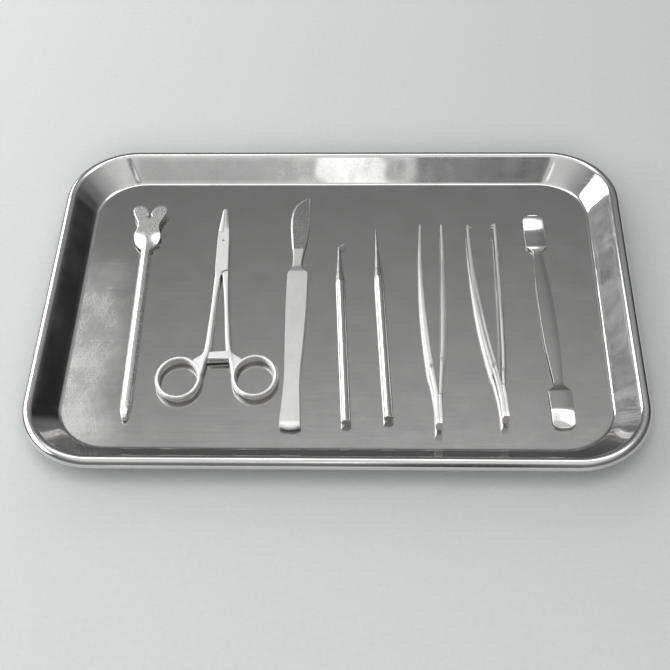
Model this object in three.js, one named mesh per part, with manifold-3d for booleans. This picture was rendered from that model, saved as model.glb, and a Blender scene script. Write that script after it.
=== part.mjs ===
// A stainless steel instrument tray with a rolled rim, laid out with eight dissecting instruments:
// grooved director, box-lock artery forceps, solid scalpel, bent and straight mounted needles,
// dressing forceps, toothed tissue forceps and a double-ended spatula.
//
// Millimetres, +Z up. The origin is on the surface the tray stands on, under the middle of the tray.
// +X runs along the tray's long side and +Y points to its back, which the instruments' tips point to.

import * as THREE from 'three';
import { mergeVertices } from 'three/addons/utils/BufferGeometryUtils.js';
import Module from 'manifold-3d';

const wasm = await Module();
wasm.setup();

// ---------------------------------------------------------------- driving dimensions

const TRAY = {
  length: 305, // over the rim, along X
  width: 220, // over the rim, along Y
  height: 11.8, // table to the top of the rim
  sheet: 0.8, // sheet thickness
  beadRadius: 3.5, // outside radius of the rolled rim
  inset: 17.9, // floor edge to the outside of the rim, in plan
  wallAngle: 42.3, // slope of the side walls above level, in degrees
  filletRadius: 2.5, // inside radius where the floor turns up
  curlEnd: -250, // heading of the sheet where the rolled rim ends, in degrees
  outerCorner: 38, // corner radius in plan, outside the rim
  floorCorner: 25, // corner radius in plan, at the floor edge
};
const REST_GAP = 0.15; // instruments stand this far off the tray floor
const FLOOR = TRAY.sheet + REST_GAP; // height that instruments stand on

const DIRECTOR = {
  position: [-104.2, 0],
  tilt: 1.1, // degrees about Z
  width: 5.3,
  height: 3.8,
  wall: 0.8,
  tipY: -77.2,
  plateThickness: 1.0,
};

const HEMOSTAT = {
  pivot: [-63, 43.5],
  tilt: 2.2,
  middle: FLOOR + 2.5, // height of the mid-plane
  halfHeight: 2.0, // of jaws, lock and ratchet
  ringCentre: [19.0, -94.6],
  ringRadii: [10.5, 12.6], // of the ring's centre line
  ringBar: [1.35, 1.7], // half the ring bar's thickness, radial and vertical
  tongueHalf: 0.8, // half the thickness of the tongue inside the lock
  plateInner: 1.0, // the lock's plates start this far from the mid-plane
  pinRadius: 0.8,
  pinGap: 0.25,
  jawTip: 26, // pivot to tip
  jawGap: 0.06, // each jaw's face stands this far from the closing plane
  toothPitch: 1.7,
  toothCount: 4,
};

const SCALPEL = { handleThickness: 3.0, spineThickness: 1.6, edgeThickness: 0.3 };

const NEEDLE = {
  acrossFlats: 4.8,
  noseLength: 7,
  noseRadius: 1.95,
  boreRadius: 1.3,
  shankRadius: 1.0,
  shankLength: 9,
  seatGap: 0.3,
};

const FORCEPS = { leaf: 1.25, gripHeight: 9.0, buttHeight: 6.4, tipHeight: 2.2 };

const SPATULA = { position: [107.9, -8], tilt: 2.33, thickness: 1.3, width: 11.2, waist: 8, neck: 4.6 };

// ---------------------------------------------------------------- materials

const steel = (color, roughness) => new THREE.MeshStandardMaterial({ color, roughness, metalness: 1 });
const polishedSteel = steel(0xd4d3d1, 0.12);
const satinSteel = steel(0xc4c3c0, 0.34);
const brushedSteel = steel(0xb4b3b1, 0.28);
const darkSteel = steel(0x8d8c8a, 0.3);

// ---------------------------------------------------------------- geometry helpers

const degrees = (angle) => (angle * Math.PI) / 180;

// A geometry from a list of triangles' corner positions, with its faces turned outward.
function fromTriangles(corners) {
  let volume = 0;
  for (let i = 0; i < corners.length; i += 3) {
    const [a, b, c] = corners.slice(i, i + 3);
    volume += a.dot(b.clone().cross(c));
  }
  if (volume < 0) {
    for (let i = 0; i < corners.length; i += 3) {
      [corners[i + 1], corners[i + 2]] = [corners[i + 2], corners[i + 1]];
    }
  }
  return new THREE.BufferGeometry().setFromPoints(corners);
}

// A solid through loops of Vector3 with equal counts, with a flat fan closing the first and the last
// loop, or with the last loop joined back to the first when closed is true.
function loft(loops, closed = false) {
  const count = loops[0].length;
  const corners = [];
  const spans = closed ? loops.length : loops.length - 1;
  for (let i = 0; i < spans; i++) {
    const near = loops[i];
    const far = loops[(i + 1) % loops.length];
    for (let j = 0; j < count; j++) {
      const k = (j + 1) % count;
      corners.push(near[j], near[k], far[k], near[j], far[k], far[j]);
    }
  }
  if (!closed) {
    const last = loops[loops.length - 1];
    for (let j = 1; j < count - 1; j++) {
      corners.push(loops[0][0], loops[0][j + 1], loops[0][j]);
      corners.push(last[0], last[j], last[j + 1]);
    }
  }
  return fromTriangles(corners.map((p) => p.clone()));
}

// The manifold solid of a closed geometry.
function solidOf(geometry) {
  const bare = new THREE.BufferGeometry();
  bare.setAttribute('position', geometry.getAttribute('position'));
  if (geometry.index) bare.setIndex(geometry.index);
  const merged = mergeVertices(bare, 1e-5);
  const mesh = new wasm.Mesh({
    numProp: 3,
    vertProperties: new Float32Array(merged.getAttribute('position').array),
    triVerts: new Uint32Array(merged.index.array),
  });
  return new wasm.Manifold(mesh);
}

// The geometry of a manifold solid.
function geometryOf(solid) {
  const { vertProperties, triVerts } = solid.getMesh();
  const geometry = new THREE.BufferGeometry();
  geometry.setAttribute('position', new THREE.BufferAttribute(vertProperties, 3));
  geometry.setIndex(new THREE.BufferAttribute(triVerts, 1));
  geometry.computeVertexNormals();
  return geometry;
}

const joined = (...geometries) => geometries.map(solidOf).reduce((sum, solid) => sum.add(solid));
const cutFrom = (solid, ...geometries) => geometries.map(solidOf).reduce((left, tool) => left.subtract(tool), solid);

// A plate with a plan outline of [x, y] points between two heights.
function plate(outline, low, high) {
  const shape = new THREE.Shape(outline.map(([x, y]) => new THREE.Vector2(x, y)));
  const geometry = new THREE.ExtrudeGeometry(shape, { depth: high - low, bevelEnabled: false });
  return geometry.translate(0, 0, low);
}

// An upright cylinder between two heights.
function post(radius, low, high, x = 0, y = 0, sides = 24) {
  const geometry = new THREE.CylinderGeometry(radius, radius, high - low, sides);
  return geometry.rotateX(Math.PI / 2).translate(x, y, (low + high) / 2);
}

// Points of a smooth curve through [x, y] points.
function smooth(points, divisions) {
  return new THREE.SplineCurve(points.map(([x, y]) => new THREE.Vector2(x, y))).getPoints(divisions);
}

// An upright oval or chamfered section, square to a plan path at one of its points.
function section(point, heading, outline, middle) {
  return outline.map(([across, up]) => new THREE.Vector3(
    point.x - Math.sin(heading) * across,
    point.y + Math.cos(heading) * across,
    middle + up,
  ));
}

const ellipse = (a, b, count) => Array.from({ length: count }, (_, i) => {
  const angle = (2 * Math.PI * i) / count;
  return [a * Math.cos(angle), b * Math.sin(angle)];
});

const chamfered = (a, b, cut) => [
  [a, b - cut], [a - cut, b], [cut - a, b], [-a, b - cut],
  [-a, cut - b], [cut - a, -b], [a - cut, -b], [a, cut - b],
];

// The heading of a polyline at each of its points.
function headings(points) {
  return points.map((_, i) => {
    const before = points[Math.max(i - 1, 0)];
    const after = points[Math.min(i + 1, points.length - 1)];
    return Math.atan2(after.y - before.y, after.x - before.x);
  });
}

// A value that runs through [position, value] pairs in straight steps.
function along(pairs, at) {
  if (at <= pairs[0][0]) return pairs[0][1];
  for (let i = 1; i < pairs.length; i++) {
    if (at <= pairs[i][0]) {
      const share = (at - pairs[i - 1][0]) / (pairs[i][0] - pairs[i - 1][0]);
      return pairs[i - 1][1] + share * (pairs[i][1] - pairs[i - 1][1]);
    }
  }
  return pairs[pairs.length - 1][1];
}

const group = new THREE.Group();

function add(name, geometry, material, parent = group) {
  const mesh = new THREE.Mesh(geometry, material);
  mesh.name = name;
  parent.add(mesh);
  return mesh;
}

function placed([x, y], tilt) {
  const frame = new THREE.Group();
  frame.position.set(x, y, 0);
  frame.rotation.z = degrees(tilt);
  group.add(frame);
  return frame;
}

// ---------------------------------------------------------------- tray

// One loop of the tray: the floor's outline grown by s, at height z, with corner radius r.
function trayLoop(s, z, r) {
  const cornerSteps = 8;
  const halfX = TRAY.length / 2 - TRAY.inset + s - r;
  const halfY = TRAY.width / 2 - TRAY.inset + s - r;
  const loop = [];
  for (const [signX, signY, start] of [[1, 1, 0], [-1, 1, 90], [-1, -1, 180], [1, -1, 270]]) {
    for (let i = 0; i <= cornerSteps; i++) {
      const angle = degrees(start + (90 * i) / cornerSteps);
      loop.push(new THREE.Vector3(signX * halfX + r * Math.cos(angle), signY * halfY + r * Math.sin(angle), z));
    }
  }
  return loop;
}

// The sheet runs from the floor's top edge up the wall, round the rolled rim and back underneath.
function trayPan() {
  const { sheet, beadRadius, filletRadius, wallAngle, inset } = TRAY;
  const beadS = inset - beadRadius;
  const beadZ = TRAY.height - beadRadius;
  const slope = degrees(wallAngle);
  const wallEndS = beadS - beadRadius * Math.sin(slope);
  const beadCorner = (s) => TRAY.outerCorner - (inset - s);
  const wallCorner = (s) => TRAY.floorCorner + ((beadCorner(wallEndS) - TRAY.floorCorner) * s) / wallEndS;
  const loops = [];
  const filletSteps = 3;
  const curlSteps = 13;
  const onFillet = (radius, share) => {
    const angle = slope * share;
    return [radius * Math.sin(angle), sheet + filletRadius - radius * Math.cos(angle)];
  };
  const onCurl = (radius, share) => {
    const heading = slope + (degrees(TRAY.curlEnd) - slope) * share;
    return [beadS - radius * Math.sin(heading), beadZ + radius * Math.cos(heading)];
  };
  for (let i = 0; i <= filletSteps; i++) {
    const [s, z] = onFillet(filletRadius, i / filletSteps);
    loops.push(trayLoop(s, z, wallCorner(s)));
  }
  for (let i = 0; i <= curlSteps; i++) {
    const [s, z] = onCurl(beadRadius, i / curlSteps);
    loops.push(trayLoop(s, z, beadCorner(s)));
  }
  for (let i = curlSteps; i >= 0; i--) {
    const [s, z] = onCurl(beadRadius - sheet, i / curlSteps);
    loops.push(trayLoop(s, z, beadCorner(s)));
  }
  for (let i = filletSteps; i >= 0; i--) {
    const [s, z] = onFillet(filletRadius + sheet, i / filletSteps);
    loops.push(trayLoop(s, z, wallCorner(s)));
  }
  return loft(loops);
}

add('tray_pan', geometryOf(solidOf(trayPan())), brushedSteel);

// ---------------------------------------------------------------- grooved director

function directorPlateOutline() {
  const right = smooth([[2.2, 38], [4.2, 40.5], [6.6, 44.5], [7.2, 49], [6.0, 54.5], [6.4, 59], [8.9, 65.5],
    [9.1, 69.5], [6.6, 71.2], [3.4, 70.6], [1.5, 67.8]], 34).map((p) => [p.x, p.y]);
  const slot = [[0.55, 65.2], [0.55, 64.1]];
  for (const angle of [30, -15, -60, -90]) {
    slot.push([1.3 * Math.cos(degrees(angle)), 63.1 + 1.3 * Math.sin(degrees(angle))]);
  }
  const half = [...right, ...slot];
  const mirrored = half.slice(0, -1).reverse().map(([x, y]) => [-x, y]);
  return [...half, ...mirrored];
}

// The director lies with its groove down. These are half of its bar's section and of the groove's, as
// [share of the half width, mm below the ridge]. Stations are [y, half width, ridge height, bottom height].
const RIDGED = [[1, 1.8], [0.94, 1.05], [0.755, 0.58], [0.377, 0.2], [0, 0]];
const HOLLOWED = [[1, 1.0], [0.82, 0.5], [0.5, 0.15], [0, 0]];

function ridgedBar(stations, profile) {
  const loops = stations.map(([y, half, ridge, bottom]) => {
    const scale = half / (DIRECTOR.width / 2);
    const right = profile.map(([share, drop]) => [half * share, ridge - drop * scale]);
    const left = right.slice(0, -1).reverse().map(([x, z]) => [-x, z]);
    const outline = [[-half, bottom], [half, bottom], ...right, ...left];
    return outline.map(([x, z]) => new THREE.Vector3(x, y, z));
  });
  return loft(loops);
}

function director() {
  const { width, height, wall, tipY, plateThickness } = DIRECTOR;
  const top = FLOOR + height;
  const half = width / 2;
  const bar = ridgedBar([[tipY, 0.6, top - 2.2, FLOOR + 0.7], [tipY + 1, 1.2, top - 1.2, FLOOR + 0.2],
    [tipY + 3, 1.9, top - 0.4, FLOOR], [tipY + 6, 2.4, top - 0.1, FLOOR], [tipY + 10, half, top, FLOOR],
    [36, half, top, FLOOR], [41, half, top, FLOOR + 1.6], [45, half - 0.4, top, top - plateThickness - 0.8]], RIDGED);
  const inner = half - wall;
  const groove = ridgedBar([[tipY + 4, 0.9, top - 1.7, FLOOR - 0.1], [tipY + 9, inner, top - 1.1, FLOOR - 0.1],
    [46, inner, top - 1.1, FLOOR - 0.1]], HOLLOWED);
  const slotted = plate(directorPlateOutline(), top - plateThickness, top);
  return cutFrom(joined(bar, slotted), groove);
}

add('grooved_director', geometryOf(director()), polishedSteel, placed(DIRECTOR.position, DIRECTOR.tilt));

// ---------------------------------------------------------------- artery forceps

// Everything is drawn for the half whose ring is on the right; the other half mirrors it with side = -1.

function fingerRing(side) {
  const { ringCentre, ringRadii, ringBar, middle } = HEMOSTAT;
  const steps = 30;
  const loops = [];
  for (let i = 0; i < steps; i++) {
    const angle = (2 * Math.PI * i) / steps;
    const point = { x: ringRadii[0] * Math.cos(angle), y: ringRadii[1] * Math.sin(angle) };
    const heading = Math.atan2(ringRadii[1] * Math.cos(angle), -ringRadii[0] * Math.sin(angle));
    loops.push(section(point, heading, ellipse(ringBar[0], ringBar[1], 10), middle));
  }
  return loft(loops, true).translate(side * ringCentre[0], ringCentre[1], 0);
}

function shank(side) {
  const path = smooth([[1.9, -24], [3.15, -43.5], [4.35, -63.5], [5.3, -76], [7.0, -83.5], [8.5, -93]], 16);
  const turned = headings(path);
  const loops = path.map((point, i) => {
    const half = along([[-93, 1.2], [-84, 1.6], [-76, 1.55], [-50, 1.35], [-24, 1.55]], point.y);
    return section(point, turned[i], ellipse(half, HEMOSTAT.halfHeight * 0.95, 10), HEMOSTAT.middle);
  });
  return loft(loops).applyMatrix4(new THREE.Matrix4().makeScale(side, 1, 1));
}

const mirroredOutline = (outline, side) => outline.map(([x, y]) => [side * x, y]);

// The web that fills the corner between the shank and the ring.
function web(side) {
  const outline = [[4.6, -74], [6.2, -77.4], [9.2, -80], [14.2, -81.6], [14.4, -84.2], [8.6, -87.5], [6.6, -83]];
  return plate(mirroredOutline(outline, side), HEMOSTAT.middle - 1.6, HEMOSTAT.middle + 1.6);
}

// A ratchet arm reaching across from the shank at the given side, above (up = 1) or below the mid-plane.
function ratchetArm(side, up) {
  const { middle, toothPitch, toothCount } = HEMOSTAT;
  const arm = plate(mirroredOutline([[5.4, -78.6], [-4.1, -79.0], [-4.8, -83.4], [6.4, -83.8]], side),
    Math.min(up * 0.7, up * 1.85) + middle, Math.max(up * 0.7, up * 1.85) + middle);
  const teeth = [];
  for (let i = 0; i < toothCount; i++) {
    const x = -3.5 + i * toothPitch;
    const profile = new THREE.Shape([new THREE.Vector2(x, 0.9), new THREE.Vector2(x, 0.1),
      new THREE.Vector2(x + toothPitch * 0.85, 0.9)]);
    const tooth = new THREE.ExtrudeGeometry(profile, { depth: 3.4, bevelEnabled: false });
    tooth.rotateX(Math.PI / 2).translate(0, -79.6, 0).scale(side, 1, up).translate(0, 0, middle);
    teeth.push(tooth);
  }
  return [arm, ...teeth];
}

// A geometry mirrored by a negative scale has its faces turned inward; this turns them back.
function faceOutward(geometry) {
  const flat = geometry.index ? geometry.toNonIndexed() : geometry;
  const position = flat.getAttribute('position');
  const corners = [];
  for (let i = 0; i < position.count; i++) corners.push(new THREE.Vector3().fromBufferAttribute(position, i));
  return fromTriangles(corners);
}

// A jaw: half an oval, flat on the closing plane, on the side given.
function jaw(side, from) {
  const { jawTip, jawGap, halfHeight, middle } = HEMOSTAT;
  const loops = [from, 10, 15, 20, 24, 25.6, jawTip].map((y) => {
    const width = along([[8, 2.65], [12, 2.45], [24, 1.35], [25.6, 0.95], [26, 0.6]], y);
    const half = along([[8, halfHeight], [12, halfHeight * 0.92], [24, 1.15], [26, 0.75]], y);
    const loop = [];
    for (let i = 0; i <= 6; i++) {
      const angle = degrees(-90 + 30 * i);
      loop.push(new THREE.Vector3(side * (jawGap + width * Math.cos(angle)), y, middle + half * Math.sin(angle)));
    }
    return loop;
  });
  return loft(loops);
}

// The half with the two lock plates: ring and shank on the left, jaw on the right.
function boxHalf() {
  const { middle, halfHeight, plateInner, pinRadius, pinGap } = HEMOSTAT;
  const cover = [[-3.5, -24.5], [-0.4, -24.5], [-0.2, -23.2], [1.2, -22.1], [3.2, -21.6], [2.95, 0], [2.75, 8.6],
    [0.1, 8.6], [0.1, 7.2], [-2.9, 7.2], [-3.2, 0], [-3.7, -21]];
  const upper = plate(cover, middle + plateInner, middle + halfHeight);
  const lower = plate(cover, middle - halfHeight, middle - plateInner);
  const foot = plate([[-3.5, -26.5], [-0.7, -26.5], [-0.4, -23.2], [-3.55, -23.2]],
    middle - halfHeight, middle + halfHeight);
  const head = plate([[0.1, 7.3], [2.75, 7.3], [2.7, 9.5], [0.1, 9.5]], middle - halfHeight, middle + halfHeight);
  const body = joined(upper, lower, foot, head, jaw(1, 8), faceOutward(shank(-1)), web(-1), fingerRing(-1),
    ...ratchetArm(-1, -1).map(faceOutward));
  return cutFrom(body, post(pinRadius + pinGap, middle - 3, middle + 3));
}

// The half with the tongue: ring and shank on the right, jaw on the left.
function tongueHalf() {
  const { middle, halfHeight, tongueHalf: half, pinRadius, pinGap } = HEMOSTAT;
  const tongue = plate([[0.35, -24.6], [3.3, -24.6], [3.1, -10], [2.6, 0], [2.4, 6.1], [-0.1, 6.1], [-0.1, 9.2],
    [-2.6, 9.2], [-2.75, 0], [-1.7, -10], [-0.05, -21.5]], middle - half, middle + half);
  const foot = plate([[0.5, -26.5], [3.5, -26.5], [3.35, -22.7], [1.3, -23.0]],
    middle - halfHeight, middle + halfHeight);
  const body = joined(tongue, foot, jaw(-1, 8.5), faceOutward(shank(1)), web(1), fingerRing(1),
    ...ratchetArm(1, 1).map(faceOutward));
  return cutFrom(body, post(pinRadius + pinGap, middle - 3, middle + 3));
}

const hemostat = placed(HEMOSTAT.pivot, HEMOSTAT.tilt);
add('artery_forceps_box_half', geometryOf(boxHalf()), polishedSteel, hemostat);
add('artery_forceps_tongue_half', geometryOf(tongueHalf()), polishedSteel, hemostat);
add('artery_forceps_pivot_pin', post(HEMOSTAT.pinRadius, HEMOSTAT.middle - HEMOSTAT.halfHeight,
  HEMOSTAT.middle + HEMOSTAT.halfHeight), darkSteel, hemostat);

// ---------------------------------------------------------------- scalpel

function scalpel() {
  const { handleThickness, spineThickness, edgeThickness } = SCALPEL;
  const leftSide = smooth([[-26.9, -82.6], [-26.4, -66], [-25.9, -50], [-26.6, -26], [-27.3, 0], [-27.4, 20.5]], 12);
  const rightSide = smooth([[-16.3, 20.5], [-16.3, 0], [-16.9, -26], [-17.8, -50], [-17.2, -66], [-16.3, -82.6]], 12);
  const buttEnd = smooth([[-16.3, -82.6], [-19.4, -84.0], [-23.8, -84.0], [-26.9, -82.6]], 6).slice(1, -1);
  const shoulder = [[-26.6, 23], [-25.1, 26], [-20.0, 26], [-19.2, 23.6]];
  const outline = [...leftSide.map((p) => [p.x, p.y]), ...shoulder, ...rightSide.map((p) => [p.x, p.y]),
    ...buttEnd.map((p) => [p.x, p.y])];
  const chamfer = 0.45;
  const handle = new THREE.ExtrudeGeometry(new THREE.Shape(outline.map(([x, y]) => new THREE.Vector2(x, y))), {
    depth: handleThickness - 2 * chamfer, bevelThickness: chamfer, bevelSize: chamfer, bevelOffset: -chamfer,
    bevelSegments: 1,
  }).translate(0, 0, FLOOR + chamfer);

  const edge = [[22, -24.9], [30, -24.9], [39, -25.2], [39.6, -25.6], [47, -26.4], [55, -27.1], [62, -27.2],
    [68, -26.6], [73, -25.0], [76.5, -22.4], [78.6, -19.8], [79.5, -17.9]];
  const spine = [[22, -20.1], [30, -20.1], [38, -19.2], [47, -17.9], [60, -17.1], [72, -17.2], [79.5, -17.4]];
  const middle = FLOOR + handleThickness / 2;
  const loops = edge.map(([y, left]) => {
    const right = along(spine, y);
    const thickness = along([[22, spineThickness], [30, spineThickness], [79.5, 0.5]], y);
    const sharp = y < 39.3 ? thickness * 0.8 : edgeThickness;
    const bevel = y < 39.3 ? 0.3 : Math.min(2.2, (right - left) * 0.45);
    return [[right, -1], [right, 1], [left + bevel, 1], [left, sharp / thickness], [left, -sharp / thickness],
      [left + bevel, -1]].map(([x, side]) => new THREE.Vector3(x, y, middle + (side * thickness) / 2));
  });
  return joined(handle, loft(loops));
}

add('scalpel', geometryOf(scalpel()), satinSteel);

// ---------------------------------------------------------------- mounted needles

// The needle frame has its origin at the end of the handle's flats, with +Y towards the point.
function needleHandle(length) {
  const { acrossFlats, noseLength, noseRadius, boreRadius, shankLength } = NEEDLE;
  const corner = acrossFlats / 2 / Math.cos(Math.PI / 8);
  const chamfer = 0.5;
  const octagon = (radius, y) => Array.from({ length: 8 }, (_, i) => {
    const angle = Math.PI / 8 + (i * Math.PI) / 4;
    return new THREE.Vector3(radius * Math.cos(angle), y, radius * Math.sin(angle));
  });
  const rod = loft([octagon(corner - chamfer, -length), octagon(corner, -length + chamfer), octagon(corner, 0)]);
  const rounded = (radius, y) => ellipse(radius, radius, 24).map(([x, z]) => new THREE.Vector3(x, y, z));
  const nose = loft([rounded(acrossFlats / 2 - 0.1, -1), rounded(acrossFlats / 2 - 0.1, 2),
    rounded(noseRadius, noseLength)]);
  const bore = loft([rounded(boreRadius, noseLength - shankLength - 1), rounded(boreRadius, noseLength + 1)]);
  return cutFrom(joined(rod, nose), bore).translate(0, 0, FLOOR + acrossFlats / 2);
}

// A needle as loops round a bent centre line: stations are [x, y, radius].
function needleBlade(stations, sides = 16) {
  const path = stations.map(([x, y]) => new THREE.Vector2(x, y));
  const turned = headings(path);
  const loops = path.map((point, i) => section(point, turned[i], ellipse(stations[i][2], stations[i][2], sides), 0));
  return loft(loops).translate(0, 0, FLOOR + NEEDLE.acrossFlats / 2);
}

function mountedNeedle(name, position, tilt, length, taper) {
  const { noseLength, noseRadius, shankRadius, shankLength, seatGap } = NEEDLE;
  const frame = placed(position, tilt);
  const seat = noseLength + seatGap;
  add(`${name}_handle`, geometryOf(needleHandle(length)), polishedSteel, frame);
  const stations = [[0, noseLength - shankLength + 0.4, shankRadius], [0, seat - 0.02, shankRadius],
    [0, seat, noseRadius - 0.05], ...taper];
  add(`${name}_point`, geometryOf(solidOf(needleBlade(stations))), darkSteel, frame);
}

mountedNeedle('bent_needle', [0.9, 13.5], 2.9, 92.5,
  [[0, 17, 1.1], [0, 25.5, 0.55], [0.35, 26.8, 0.5], [1.2, 27.9, 0.44], [3.9, 30.2, 0.14]]);
mountedNeedle('straight_needle', [21.2, 16.5], 3.05, 93,
  [[0, 20, 1.05], [0, 32, 0.45], [0, 38.5, 0.08]]);

// ---------------------------------------------------------------- spring forceps

// The point of a polyline that runs down in Y at height y.
function pointAt(path, y) {
  const pairs = [...path].reverse().map((p) => [p.y, p.x]);
  return new THREE.Vector2(along(pairs, y), y);
}

// One leaf standing on its edge along a plan path. Heights and thicknesses are [y, value] pairs.
function leaf(points, heights, thicknesses) {
  const path = smooth(points, 24);
  const low = path[path.length - 1].y;
  const extra = heights.map(([y]) => y).filter((y) => y > low + 0.1 && y < path[0].y - 0.1);
  const stations = [...path, ...extra.map((y) => pointAt(path, y))].sort((a, b) => b.y - a.y);
  const turned = headings(stations);
  return loft(stations.map((point, i) => {
    const outline = chamfered(along(thicknesses, point.y) / 2, along(heights, point.y) / 2, 0.25);
    return section(point, turned[i], outline, FLOOR + FORCEPS.gripHeight / 2);
  }));
}

// Height and thickness of a leaf: tall at the grip, with a step down to the butt, and slender at the tip.
function leafSizes(tipY, stepY, buttY) {
  const { leaf: thickness, gripHeight, buttHeight, tipHeight } = FORCEPS;
  const heights = [[buttY, buttHeight - 0.8], [buttY + 1, buttHeight], [stepY - 1.5, buttHeight],
    [stepY, gripHeight], [stepY + 32, gripHeight], [stepY + 52, gripHeight - 1.6], [tipY - 27, 4.2],
    [tipY - 2.5, tipHeight], [tipY - 0.6, tipHeight], [tipY, tipHeight * 0.7]];
  const thicknesses = [[buttY, thickness], [tipY - 40, thickness + 0.1], [tipY - 2.5, 1.15], [tipY, 0.7]];
  return [heights, thicknesses];
}

// The part of the butt that belongs to the right-hand leaf, fused to the left-hand one.
function fusedButt(points) {
  const { leaf: thickness, buttHeight } = FORCEPS;
  const buttY = points[points.length - 1][1];
  return leaf(points, [[buttY, buttHeight - 0.8], [buttY + 1, buttHeight]], [[buttY, thickness + 0.3]]);
}

// A pointed tooth reaching sideways from a leaf's tip.
function tooth(x, y, z, reach) {
  const geometry = new THREE.ConeGeometry(0.5, Math.abs(reach), 6);
  geometry.rotateZ(reach > 0 ? -Math.PI / 2 : Math.PI / 2);
  return geometry.translate(x + reach / 2, y, z);
}

const gripMiddle = FLOOR + FORCEPS.gripHeight / 2;

function dressingForceps() {
  const left = leaf([[43.3, 55], [43.0, 32], [43.6, 6], [45.1, -20], [47.0, -42], [48.9, -57], [49.72, -65],
    [49.86, -74], [49.86, -82.5]], ...leafSizes(55, -46.5, -82.5));
  const butt = fusedButt([[51.15, -64.8], [51.25, -70], [51.28, -82.5]]);
  const right = leaf([[54.8, 55], [54.9, 32], [54.2, 6], [53.4, -20], [52.5, -42], [51.65, -56], [51.3, -64.5]],
    ...leafSizes(55, -42.5, -82.5));
  add('dressing_forceps_left_arm', geometryOf(joined(left, butt)), satinSteel);
  add('dressing_forceps_right_arm', geometryOf(solidOf(right)), satinSteel);
}

function tissueForceps() {
  const left = leaf([[69.0, 55], [69.7, 34], [71.2, 12], [73.6, -12], [76.6, -34], [79.4, -50], [80.9, -60],
    [81.6, -68], [82.05, -78]], ...leafSizes(55, -45.5, -78));
  const butt = fusedButt([[82.25, -58.8], [82.85, -66], [83.45, -78]]);
  const right = leaf([[83.7, 56], [83.75, 32], [83.65, 8], [83.3, -20], [82.9, -42], [82.4, -53], [82.42, -58.4]],
    ...leafSizes(56, -49, -78));
  add('tissue_forceps_left_arm', geometryOf(joined(left, butt, tooth(69.3, 53.6, gripMiddle, 2.0))), satinSteel);
  add('tissue_forceps_right_arm', geometryOf(joined(right, tooth(83.4, 54.2, gripMiddle + 0.6, -2.0),
    tooth(83.4, 54.2, gripMiddle - 0.6, -2.0))), satinSteel);
}

dressingForceps();
tissueForceps();

// ---------------------------------------------------------------- spatula

// The back blade turns up. The front blade turns down to the floor, which lifts the front of the shaft.
function spatulaLift(y) {
  const turn = 1.8; // height of each blade's bend
  const past = Math.abs(y) - 61;
  const bend = past <= 0 ? 0 : past <= 3 ? 0.03 * past ** 2 : 0.27 + 0.18 * (past - 3);
  return y > 0 ? Math.max(0, (turn * (55 - y)) / 127.5) + bend : (turn * (55 - y)) / 127.5 - bend;
}

function spatula() {
  const { thickness, width, waist, neck } = SPATULA;
  const top = 72.5; // both ends, along Y from the middle
  const corner = 3.4;
  const halves = [[top, 0.45], [top - 0.25, 0.72], [top - 0.9, 0.86], [top - 1.9, 0.95], [top - corner, 1]];
  const side = [...halves.map(([y, share]) => [y, (width / 2) * share]), [64, width / 2], [62.5, width / 2],
    [61, width / 2], [51.5, width / 2], [49.2, width / 2 - 0.6], [47.2, neck / 2 + 0.9], [45.2, neck / 2],
    [30, (neck + waist) / 4], [12, waist / 2]];
  const widths = [...side, ...side.map(([y, half]) => [-y, half]).reverse()];
  const loops = widths.map(([y, half]) => {
    const centre = new THREE.Vector2(0, y);
    const middle = FLOOR + thickness / 2 + spatulaLift(y);
    return section(centre, -Math.PI / 2, chamfered(half, thickness / 2, 0.3), middle);
  });
  return loft(loops);
}

add('spatula', geometryOf(solidOf(spatula())), polishedSteel, placed(SPATULA.position, SPATULA.tilt));

export default group;
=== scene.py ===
"""An instrument tray laid out with dissecting instruments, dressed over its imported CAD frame.

Sizes are in millimetres in the frame's own axes and become metres in solid_object(). +X runs along the
tray, +Y to its back and +Z up, with the table at z = 0.
Lights and the camera are placed in metres.
"""

import math

import bmesh
import bpy
import numpy as np
from mathutils import Matrix, Vector


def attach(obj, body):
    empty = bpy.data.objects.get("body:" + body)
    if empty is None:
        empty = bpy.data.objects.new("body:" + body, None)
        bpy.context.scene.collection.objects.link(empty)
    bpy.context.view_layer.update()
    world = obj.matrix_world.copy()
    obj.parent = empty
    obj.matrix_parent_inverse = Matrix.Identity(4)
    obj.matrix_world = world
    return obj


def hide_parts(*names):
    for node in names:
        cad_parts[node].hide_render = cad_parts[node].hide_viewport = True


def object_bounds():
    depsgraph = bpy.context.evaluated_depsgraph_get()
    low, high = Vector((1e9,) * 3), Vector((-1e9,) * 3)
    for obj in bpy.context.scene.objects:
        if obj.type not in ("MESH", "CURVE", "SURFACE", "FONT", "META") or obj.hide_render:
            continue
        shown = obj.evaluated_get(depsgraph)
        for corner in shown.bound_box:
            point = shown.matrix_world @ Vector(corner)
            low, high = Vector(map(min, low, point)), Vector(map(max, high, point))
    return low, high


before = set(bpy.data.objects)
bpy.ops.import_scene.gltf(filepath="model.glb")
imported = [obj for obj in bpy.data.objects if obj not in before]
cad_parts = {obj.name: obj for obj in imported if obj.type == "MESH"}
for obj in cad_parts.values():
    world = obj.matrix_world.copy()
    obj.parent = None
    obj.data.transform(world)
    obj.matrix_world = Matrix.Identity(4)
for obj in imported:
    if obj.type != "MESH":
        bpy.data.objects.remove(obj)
cad_low, cad_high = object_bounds()

MM = 0.001

# ---------------------------------------------------------------- dimensions, in millimetres

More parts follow.
